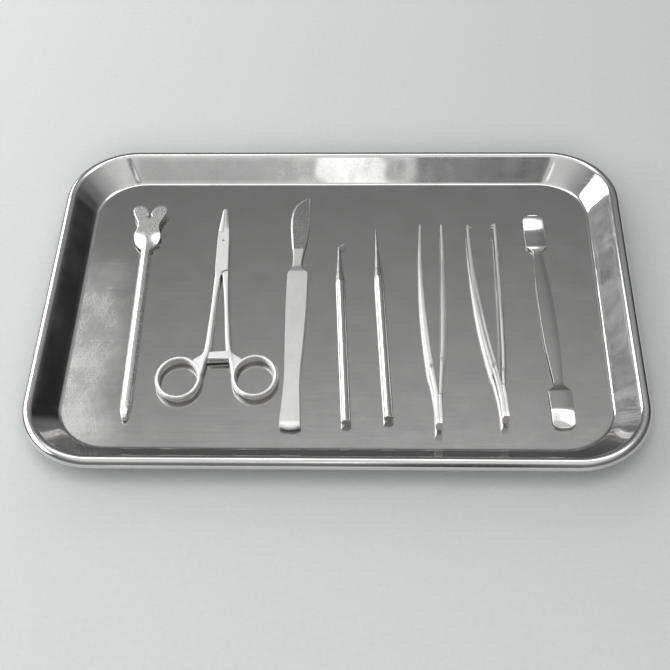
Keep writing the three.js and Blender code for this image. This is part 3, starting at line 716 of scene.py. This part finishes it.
def scalpel():
    """Sections across X, from plan outlines of its left and right sides."""
    handle, bevel, ground_width, edge_half = 3.0, 0.45, 0.95, 0.06
    butt, blade_start = -82.6, 39.5
    left = [(butt, -26.9), (-74, -26.75), (-66, -26.4), (-50, -25.9), (-26, -26.6), (0, -27.3),
            (20.5, -27.4)]
    right = [(butt, -16.3), (-74, -16.75), (-66, -17.2), (-50, -17.8), (-26, -16.9), (0, -16.3),
             (20.5, -16.3)]
    left = [tuple(p) for p in spline(left, 90)] + [(21.6, -27.1), (23, -26.6), (26, -25.1)]
    right = [tuple(p) for p in spline(right, 90)]
    right += [(21.8, -16.9), (23.6, -19.2), (24.8, -19.75), (26, -20.0)]
    edge = [tuple(p) for p in spline([(39.4, -25.2), (40.2, -25.75), (47, -26.4), (55, -27.1), (62, -27.2),
                                      (68, -26.6), (73, -25.0), (76.5, -22.4), (78.6, -19.8),
                                      (79.5, -17.7)], 70)]
    spine = [tuple(p) for p in spline([(26, -20.0), (30, -20.1), (38, -19.2), (47, -17.9), (60, -17.1),
                                       (72, -17.2), (79.5, -17.4)], 70)]
    left += [(30, -24.9), (39.2, -25.1)] + edge
    right += spine[1:]
    ys = np.unique(np.round(np.concatenate([
        np.linspace(butt, -76, 18), np.linspace(-76, 20.5, 60), np.linspace(20.5, 27, 20),
        np.linspace(27, 38.8, 10), np.linspace(39, 40.6, 10), np.linspace(40.6, 74, 40),
        np.linspace(74, 79.5, 24)]), 3))
    middle = FLOOR + handle / 2
    thickness = [(butt, 1.0), (-82.0, 1.9), (-80.5, 2.7), (-78.5, handle), (22.5, handle), (26.5, 1.7),
                 (30, 1.6), (38, 1.5), (79.5, 0.45)]
    loops = []
    for y in ys:
        a, b = along(left, y), along(right, y)
        thick = along(thickness, y) / 2
        ground = along([(38.9, 0.0), (39.6, 1.0)], y)
        blunt = max(thick - bevel, thick * 0.55)
        sharp = (1 - ground) * blunt + ground * edge_half
        cut_left = min((1 - ground) * bevel + ground * ground_width, (b - a) * 0.3)
        cut_right = min(bevel, (b - a) * 0.3)
        curved_end = 1.35 * np.clip((-76 - y) / 6.6, 0, 1) ** 2
        top = [(x, thick) for x in np.linspace(b - cut_right, a + cut_left, 11)]
        below = [(x, -thick) for x, _ in top[::-1]]
        loop = []
        for x, z in [*top, (a, sharp), (a, -sharp), *below, (b, -blunt), (b, blunt)]:
            across = (2 * x - a - b) / (b - a)
            loop.append((x, y + curved_end * across**2, middle + z))
        loops.append(loop)
    obj = solid_object("scalpel_forged", shell(loops), crease=18)
    rounding = obj.modifiers.new("edges", "BEVEL")
    rounding.width, rounding.segments, rounding.limit_method = 0.12 * MM, 2, "ANGLE"
    rounding.angle_limit = math.radians(24)
    bake(obj)
    obj.data.materials.append(scalpel_steel)
    obj.data.materials.append(blade_steel)
    for face in obj.data.polygons:  # the blade's flats have the second steel
        face.material_index = int(face.center.y > blade_start * MM and abs(face.normal.z) > 0.996)
    finished(obj, "scalpel", None, "scalpel", "scalpel")


scalpel()

# ---------------------------------------------------------------- mounted needles

FLATS = 4.8  # across the handle's flats
NOSE_LENGTH, NOSE_RADIUS = 7.0, 1.95


def needle_handle(length):
    """An eight-sided rod on one of its rounded edges, turned down to a nose that scallops its flats.

    The last two loops are the socket that the needle sits in.
    """
    socket, socket_depth = 1.25, 0.6
    apothem, facet, crowning = FLATS / 2, math.radians(45), 0.035
    wedges = [math.radians(w) for w in (-20.6, -17, -13, -9, -4.5, 0, 4.5, 9, 13, 17, 20.6)]
    angles = [((k + 0.5) * facet + w, w) for k in range(8) for w in wedges]
    shrink = {-length: -0.35, -length + 0.12: -0.15, -length + 0.4: 0.0}
    ys = [*shrink, *np.linspace(-length + 6, -8, 10), *np.linspace(-6, NOSE_LENGTH - 0.3, 44), NOSE_LENGTH]
    cones = [(-5, 3.2), (0.5, apothem + 0.02), (NOSE_LENGTH - 0.3, NOSE_RADIUS),
             (NOSE_LENGTH, NOSE_RADIUS - 0.15)]

    def ring(y, radius_at):
        radii = [radius_at(w) for _, w in angles]
        return [(r * math.cos(t), y, FLOOR + apothem + r * math.sin(t)) for r, (t, _) in zip(radii, angles)]

    def rod(y):
        def radius(w):
            crown = crowning * (1 - (w / wedges[-1]) ** 2)
            flat = (apothem - crowning) / math.cos(w) + crown
            return min(flat, apothem + 0.06, along(cones, y)) + shrink.get(y, 0.0)

        return radius

    loops = [ring(y, rod(y)) for y in ys]
    loops += [ring(NOSE_LENGTH, lambda w: socket), ring(NOSE_LENGTH - socket_depth, lambda w: socket - 0.05)]
    return shell(loops)


def needle_point(stations):
    """A round point along (x, y, radius) stations."""
    path = np.array([(x, y) for x, y, _ in stations], float)
    fine = spline(path, 80)
    run = np.concatenate([[0], np.cumsum(np.linalg.norm(np.diff(path, axis=0), axis=1))])
    radii = np.interp(np.linspace(0, run[-1], 80), run, [r for _, _, r in stations])
    lookup = iter(radii)
    return swept(fine, lambda x, y: ellipse(*[next(lookup)] * 2, 28), FLOOR + FLATS / 2)


def mounted_needle(name, x, y, tilt, length, taper):
    """A needle in its handle, with the handle's nose at the local origin and its butt at -length."""
    seat = NOSE_LENGTH + 0.3
    handle = solid_object(f"{name}_handle_turned", turned(needle_handle(length), x, y, tilt), crease=16)
    finished(handle, name, handle_steel, "needle_handle", f"{name}_handle")
    collar = [(0, seat, 1.6), (0, seat + 0.05, 1.84), (0, seat + 0.3, 1.9)]
    shaft = swept([(0, -1.6), (0, seat + 0.1)], lambda px, py: ellipse(1.0, 1.0, 28), FLOOR + FLATS / 2)
    whole = joined(shaft, needle_point(collar + taper))
    point = solid_object(f"{name}_point_ground", turned(whole, x, y, tilt))
    finished(point, name, point_steel, "needle_point", f"{name}_point")


mounted_needle("bent_needle", 0.9, 13.5, 2.9, 92.5,
               [(0, 11, 1.62), (0, 17, 1.1), (0, 25.5, 0.62), (0.35, 26.8, 0.6), (1.2, 27.9, 0.55),
                (2.6, 29.1, 0.42), (3.9, 30.2, 0.2)])
mounted_needle("straight_needle", 21.2, 16.5, 3.05, 93,
               [(0, 13, 1.55), (0, 20, 1.05), (0, 32, 0.45), (0, 38.5, 0.08)])

# ---------------------------------------------------------------- spring forceps

GRIP, BUTT, TIP, LEAF = 9.0, 6.4, 2.2, 1.25  # the leaves' heights and, last, their thickness
GRIP_MIDDLE = FLOOR + GRIP / 2
LEAF_CORNER = 0.27


def leaf_section(half_thick, half_high, outside):
    """Flat on its inner face and full on its outer one, where outside is -1 or 1."""
    fullness = 0.34 * max(half_high - 1.0, 0.0)
    box = rounded_box(half_thick, half_high, LEAF_CORNER)
    inner = sorted([(a, b) for a, b in box if a * outside < half_thick - 0.1],
                   key=lambda c: math.atan2(c[1], c[0] * -outside))
    outer = [(outside * (half_thick + fullness * (1 - v * v)), v * (half_high - LEAF_CORNER))
             for v in np.linspace(1, -1, 15)]
    return inner + outer


def leaf(points, tip, step, butt, outside):
    """A spring leaf standing on its edge along a plan path from its tip, with a step above the butt."""
    heights = [(butt, BUTT - 0.8), (butt + 1, BUTT), (step - 1.5, BUTT), (step, GRIP), (step + 32, GRIP),
               (step + 52, GRIP - 1.6), (tip - 27, 4.2), (tip - 2.5, TIP), (tip - 0.6, TIP),
               (tip, TIP * 0.7)]
    thicknesses = [(butt, LEAF), (tip - 40, LEAF + 0.1), (tip - 2.5, 1.15), (tip, 0.7)]
    path = spline(points, 110)
    extra = [(float(np.interp(y, path[::-1, 1], path[::-1, 0])), y)
             for y in (step - 1.5, step - 0.75, step, tip - 0.3, tip - 0.6) if path[-1, 1] < y < path[0, 1]]
    path = np.array(sorted([*map(tuple, path), *extra], key=lambda p: -p[1]))

    def section(_, y):
        return leaf_section(along(thicknesses, y) / 2, along(heights, y) / 2, outside)

    return swept(path, section, GRIP_MIDDLE)


def fused_butt(points, butt):
    """The right-hand side of the butt, which belongs to the left leaf."""
    heights = [(butt, BUTT - 0.8), (butt + 1, BUTT)]

    def section(_, y):
        return rounded_box(LEAF / 2 + 0.15, along(heights, y) / 2, LEAF_CORNER)

    return swept(spline(points, 12), section, GRIP_MIDDLE)


def tooth(x, y, z, reach):
    """A small cone along X: levels are (share of the reach, radius)."""
    levels = [(0.0, 0.6), (0.45, 0.42), (0.85, 0.14), (1.0, 0.02)]
    return shell([[(x + reach * s, y + u, z + v) for u, v in ellipse(r, r, 16)] for s, r in levels])


def dressing_forceps():
    left = leaf([(43.3, 55), (43.0, 32), (43.6, 6), (45.1, -20), (47.0, -42), (48.9, -57), (49.72, -65),
                 (49.86, -74), (49.86, -82.5)], 55, -46.5, -82.5, -1)
    butt = fused_butt([(51.15, -64.8), (51.25, -70), (51.28, -82.5)], -82.5)
    right = leaf([(54.8, 55), (54.9, 32), (54.2, 6), (53.4, -20), (52.5, -42), (51.65, -56), (51.3, -64.5)],
                 55, -42.5, -82.5, 1)
    obj = solid_object("dressing_forceps_left_leaf", joined(left, butt))
    finished(obj, "dressing_forceps_left", leaf_steel, "forceps_arm", "dressing_forceps_left_arm")
    obj = solid_object("dressing_forceps_right_leaf", right)
    finished(obj, "dressing_forceps_right", leaf_steel, "forceps_arm", "dressing_forceps_right_arm")


def tissue_forceps():
    left = leaf([(69.0, 55), (69.7, 34), (71.2, 12), (73.6, -12), (76.6, -34), (79.4, -50), (80.9, -60),
                 (81.6, -68), (82.05, -78)], 55, -45.5, -78, -1)
    butt = fused_butt([(82.25, -58.8), (82.85, -66), (83.45, -78)], -78)
    right = leaf([(83.7, 56), (83.75, 32), (83.65, 8), (83.3, -20), (82.9, -42), (82.4, -53),
                  (82.42, -58.4)], 56, -49, -78, 1)
    obj = solid_object("tissue_forceps_left_leaf", joined(left, butt, tooth(69.3, 53.6, GRIP_MIDDLE, 2.0)))
    finished(obj, "tissue_forceps_left", leaf_steel, "forceps_arm", "tissue_forceps_left_arm")
    teeth = [tooth(83.4, 54.2, GRIP_MIDDLE + dz, -2.0) for dz in (0.85, -0.85)]
    obj = solid_object("tissue_forceps_right_leaf", joined(right, *teeth))
    finished(obj, "tissue_forceps_right", leaf_steel, "forceps_arm", "tissue_forceps_right_arm")


dressing_forceps()
tissue_forceps()

# ---------------------------------------------------------------- spatula


def spatula_lift(y):
    """The back blade turns up. The front one turns down to the floor and lifts the front of the shaft."""
    bend_start, curve, steepness = 61, 3, 0.18
    past = abs(y) - bend_start
    if past <= 0:
        bend = 0.0
    elif past <= curve:
        bend = steepness * past**2 / (2 * curve)
    else:
        bend = steepness * (past - curve / 2)
    slope = 1.8 * (55 - y) / 127.5
    return max(0.0, slope) + bend if y > 0 else slope - bend


def spatula():
    """One bar, the same at both ends: side is its half width at distances from its middle."""
    thick, width, waist, neck, top, corner = 1.3, 11.2, 8.0, 4.6, 72.5, 3.8
    side = [(top - corner * (1 - math.sin(t)), width / 2 - corner * (1 - math.cos(t)))
            for t in np.radians(np.linspace(88, 0, 14))]
    side += [(60, width / 2)]
    side += [tuple(p) for p in spline([(51.0, width / 2), (50.2, width / 2 - 0.15), (49.3, width / 2 - 1.0),
                                       (48.2, neck / 2 + 1.2), (46.8, neck / 2 + 0.35), (45.0, neck / 2),
                                       (42, neck / 2 + 0.1)], 28)]
    side += [tuple(p) for p in spline([(36, neck / 2 + 0.55), (24, (neck + waist) / 4 + 0.45),
                                       (12, waist / 2 - 0.05), (0, waist / 2)], 24)]
    ys = np.unique(np.round(np.concatenate([[s[0] for s in side], np.linspace(51, 72, 40)]), 3))
    ys = np.concatenate([-ys[::-1], ys[ys > 0]])
    loops = []
    for y in ys:
        half, middle = along(side, abs(y)), FLOOR + thick / 2 + spatula_lift(y)
        loops.append([(x, y, middle + z) for x, z in rounded_box(half, thick / 2, 0.28)])
    obj = settle(solid_object("spatula_polished", shell(loops)), 107.9, -8, 2.33)
    finished(obj, "spatula", spatula_steel, "spatula", "spatula")


spatula()

# ---------------------------------------------------------------- table, light and camera


def table():
    """A plain pale table top, just under the tray."""
    reach = 3000
    outline = [(-reach, -reach), (reach, -reach), (reach, reach), (-reach, reach)]
    obj = solid_object("table_top", plate(outline, -20.0, -0.02))
    s = Shader(bpy.data.materials.new("table_laminate"))
    speckle = s.noise((0.4, 0.4, 0.4), detail=4.0)
    mixed_colour(s, s.ranged(speckle, 0.3, 0.7, 0.0, 1.0), (0.355, 0.365, 0.363), (0.375, 0.385, 0.383))
    s.bsdf.inputs["Roughness"].default_value = 0.6
    obj.data.materials.append(s.owner)


def softbox(name, place, target, size, power):
    """A rectangular light in metres and watts, at place and facing target."""
    data = bpy.data.lights.new(name, "AREA")
    data.shape, data.size, data.size_y, data.energy = "RECTANGLE", *size, power
    data.spread = math.radians(180)
    obj = bpy.data.objects.new(name, data)
    bpy.context.scene.collection.objects.link(obj)
    obj.location = place
    obj.rotation_euler = (Vector(target) - Vector(place)).to_track_quat("-Z", "Y").to_euler()
    return obj


def studio():
    """The room that the steel mirrors, a long key light at the left and a small card over the front.

    The four lights at the end are hidden from reflections, so they light the table and not the steel.
    """
    world = bpy.data.worlds.new("studio")
    bpy.context.scene.world = world
    s = Shader(world, "Generated")
    x, y, z = s.axes()
    ramp = s.node("ShaderNodeValToRGB")
    s.link(z, ramp.inputs["Fac"])
    stops = [(0.0, 0.16), (0.45, 0.12), (0.66, 0.21), (0.80, 0.46), (0.90, 0.8), (1.0, 0.8)]
    for i, (at, shade) in enumerate(stops):
        stop = ramp.color_ramp.elements[i] if i < 2 else ramp.color_ramp.elements.new(at)
        stop.position, stop.color = at, (shade, shade, shade, 1)

    def towards(direction, low, high, to_low, to_high):
        """A soft round patch of the room: low and high are cosines from a direction in it."""
        near = s.total(*(s.product(axis, part) for axis, part in zip((x, y, z), direction)))
        return s.ranged(near, low, high, to_low, to_high, soft=True)

    # brighter to the front, and a bank of light high up at the back
    in_front = s.ranged(y, 0.1, -0.5, 0.0, 0.05, soft=True)
    bank = s.product(s.ranged(z, 0.83, 0.87, 0.0, 1.9, soft=True),
                     s.ranged(z, 0.93, 0.955, 1.0, 0.0, soft=True),
                     s.ranged(y, 0.05, 0.25, 0.0, 1.0, soft=True))
    level = s.total(ramp.outputs["Color"], in_front, bank)

    # a dark flag low at the back right and a paler patch above it
    level = s.product(level, towards((0.70, 0.657, 0.28), 0.93, 0.985, 1.0, 0.18))
    level = s.total(level, towards((0.53, 0.66, 0.532), 0.95, 0.995, 0.0, 0.14))

    # a dark doorway in front, with streaks, and a window with uneven panes at the back left
    streaks = s.noise([9 * MM, 22 * MM, 22 * MM], detail=4.0)
    door = s.product(s.ranged(x, 0.0, 0.03, 0.0, 1.0), s.ranged(x, 0.11, 0.15, 1.0, 0.0),
                     s.ranged(y, -0.4, -0.5, 0.0, 1.0), s.ranged(streaks, 0.3, 0.6, 0.95, 0.5))
    level = s.product(level, s.maths("SUBTRACT", 1.0, door))
    panes = s.noise([40 * MM, 14 * MM, 55 * MM], detail=3.0)
    window = s.product(towards((-0.705, 0.672, 0.229), 0.90, 0.975, 0.0, 1.0),
                       s.ranged(panes, 0.42, 0.6, 0.03, 0.5))
    s.link(s.total(level, window), s.tree.nodes["Background"].inputs["Color"])

    softbox("key", (-0.69, 0.075, 0.455), (0.19, -0.401, 0.13), (1.24, 0.35), 4.9)
    softbox("card", (-0.026, -0.616, 0.97), (0, 0.1, 0.006), (0.096, 0.2), 0.05)
    for light in (softbox("ceiling", (0, 0.15, 1.3), (0, 0.15, 0), (1.2, 1.2), 2.6),
                  softbox("back", (-0.25, 1.25, 0.40), (0, 0, 0), (1.4, 0.45), 14.0),
                  softbox("side", (-1.3, 0.1, 0.30), (0, 0, 0), (0.9, 0.35), 11.0),
                  softbox("front", (0.1, -1.4, 0.7), (0, 0, 0), (1.6, 0.6), 26.0)):
        light.visible_glossy = False


def camera():
    """In front of the tray, a little right of its middle, and looking down at 49 degrees."""
    place, lens = (0.0223, -0.4929, 0.5404), 75.3
    pitch, yaw, roll = (math.radians(angle) for angle in (48.75, 2.85, -1.97))
    right = Vector((math.cos(yaw), math.sin(yaw), 0))
    ahead = Matrix.Rotation(yaw, 3, "Z") @ Vector((0, math.cos(pitch), -math.sin(pitch)))
    up = right.cross(ahead)
    side = right * math.cos(roll) + up * math.sin(roll)
    top = side.cross(ahead)
    data = bpy.data.cameras.new("camera")
    data.sensor_width, data.lens = 36.0, lens
    obj = bpy.data.objects.new("camera", data)
    bpy.context.scene.collection.objects.link(obj)
    turn = Matrix((side, top, -ahead)).transposed().to_4x4()
    obj.matrix_world = Matrix.Translation(place) @ turn
    bpy.context.scene.camera = obj


table()
studio()
camera()
bpy.context.scene.view_settings.view_transform = "Standard"
